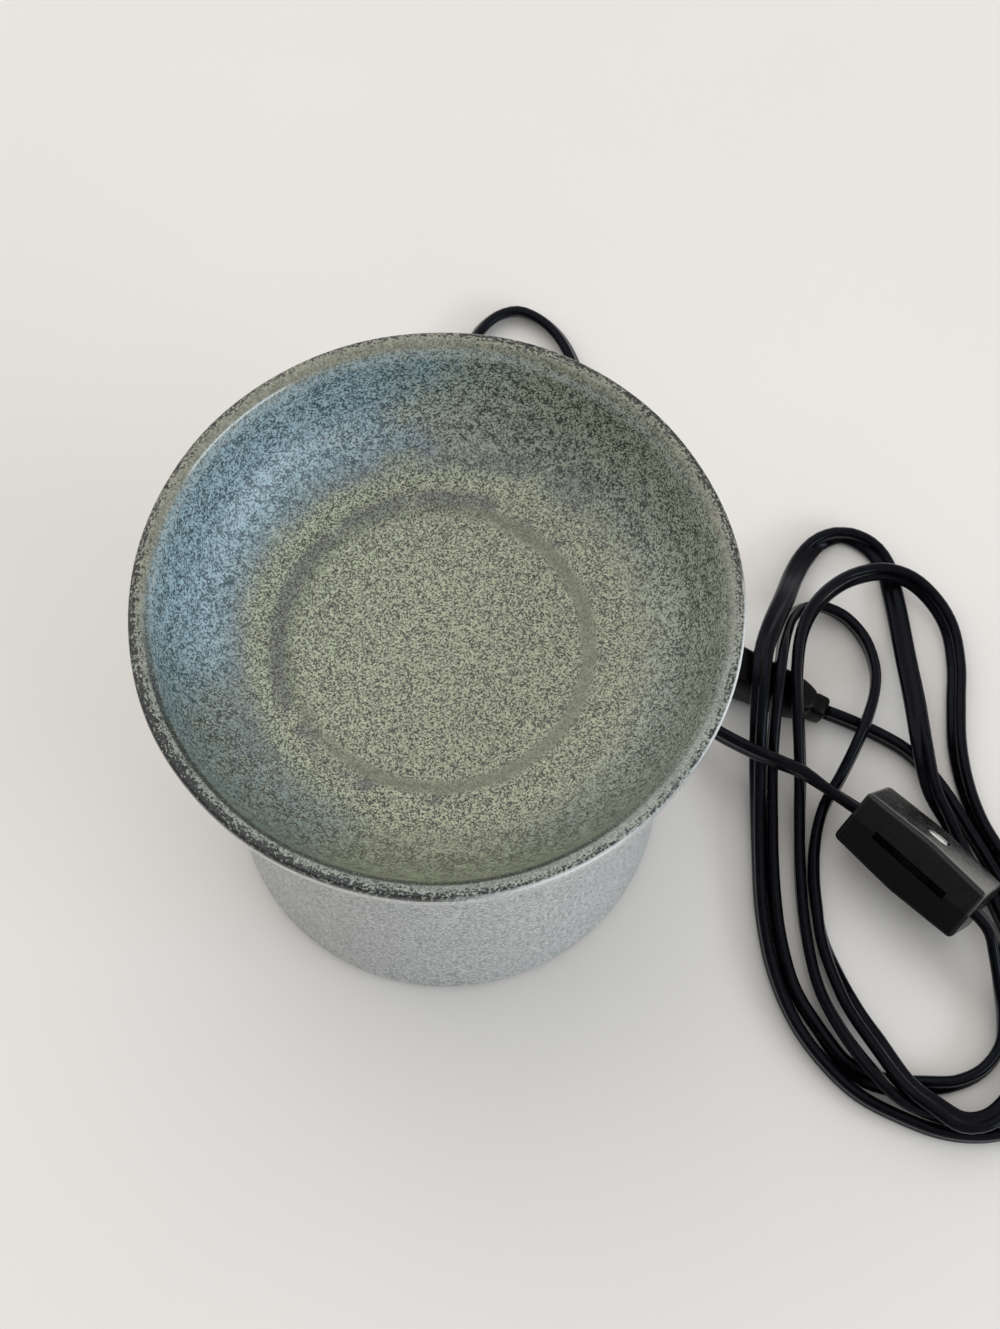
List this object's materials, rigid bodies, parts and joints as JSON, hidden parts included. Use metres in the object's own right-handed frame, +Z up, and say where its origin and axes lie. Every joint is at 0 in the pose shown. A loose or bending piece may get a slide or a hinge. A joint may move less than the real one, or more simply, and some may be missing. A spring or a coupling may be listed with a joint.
{
  "type": "electric wax warmer",
  "caption": "Wide glazed dish that lifts off a ceramic hot-plate base, with a flat lead, an inline thumbwheel switch and a plug; melts scented wax.",
  "frame": {"origin": "on the table, under the middle of the base", "axes": "+Z up along the axis of the base and dish, +Y towards the back where the lead leaves, +X right"},
  "size_m": [0.2282, 0.2442, 0.128],
  "materials": {
    "dish_glaze": "glossy reactive glaze, sage to grey blue, fine dark speckle",
    "base_ceramic": "matte pale grey glaze with a fine grain",
    "bottom_board": "matte dark grey",
    "foot_rubber": "matte",
    "plate_metal": "satin turned",
    "gasket_rubber": "matte grey silicone",
    "heater_ceramic": "unglazed off white",
    "mica": "amber laminate",
    "bracket_steel": "zinc plated",
    "fuse_shell": "tinned case",
    "wire_white": "white silicone sleeve",
    "wire_red": "red brown silicone sleeve",
    "splice_sleeve": "crimp sleeve",
    "cord_pvc": "black PVC, soft sheen",
    "moulded_black": "moulded black",
    "textured_grey": "spark textured dark grey",
    "contact_brass": "bare",
    "screw_steel": "bright plated"
  },
  "bodies": {
    "base": {"base_shell": "base_ceramic", "bottom_plate": "bottom_board", "foot_1": "foot_rubber", "foot_2": "foot_rubber", "foot_3": "foot_rubber", "foot_4": "foot_rubber", "hot_plate": "plate_metal", "plate_gasket": "gasket_rubber", "heater_disc": "heater_ceramic", "mica_disc": "mica", "pressure_plate": "bracket_steel", "bridge_bracket": "bracket_steel", "tie_rod": "bracket_steel", "rod_washer": "bracket_steel", "rod_nut_upper": "bracket_steel", "rod_nut_lower": "bracket_steel", "thermal_fuse": "fuse_shell", "fuse_clip": "bracket_steel", "fuse_wire": "wire_white", "live_wire": "wire_red", "neutral_wire": "wire_white", "splice_live": "splice_sleeve", "splice_neutral": "splice_sleeve", "core_live": "cord_pvc", "core_neutral": "cord_pvc", "cord_tail": "cord_pvc", "strain_relief": "moulded_black", "relief_lock_ring": "moulded_black", "cord_to_switch": "cord_pvc", "cord_loops": "cord_pvc", "switch_front_shell": "textured_grey", "switch_back_shell": "moulded_black", "switch_contact_in": "contact_brass", "switch_contact_out": "contact_brass", "switch_screw": "screw_steel", "switch_nut": "screw_steel", "plug_body": "moulded_black", "plug_blade_line": "contact_brass", "plug_blade_neutral": "contact_brass"},
    "dish": {"wax_dish": "dish_glaze"},
    "thumbwheel": {"switch_wheel": "moulded_black", "switch_rotor_contact": "contact_brass"}
  },
  "joints": [
    {"name": "dish_lift", "type": "slide", "parent": "base", "child": "dish", "axis": [0, 0, 1], "range_m": [0, 0.06]},
    {"name": "thumbwheel_turn", "type": "hinge", "parent": "base", "child": "thumbwheel", "pos_m": [0.1235, -0.025, 0.0138], "axis": [0.5724, 0.6, 0.5588], "continuous": true}
  ]
}
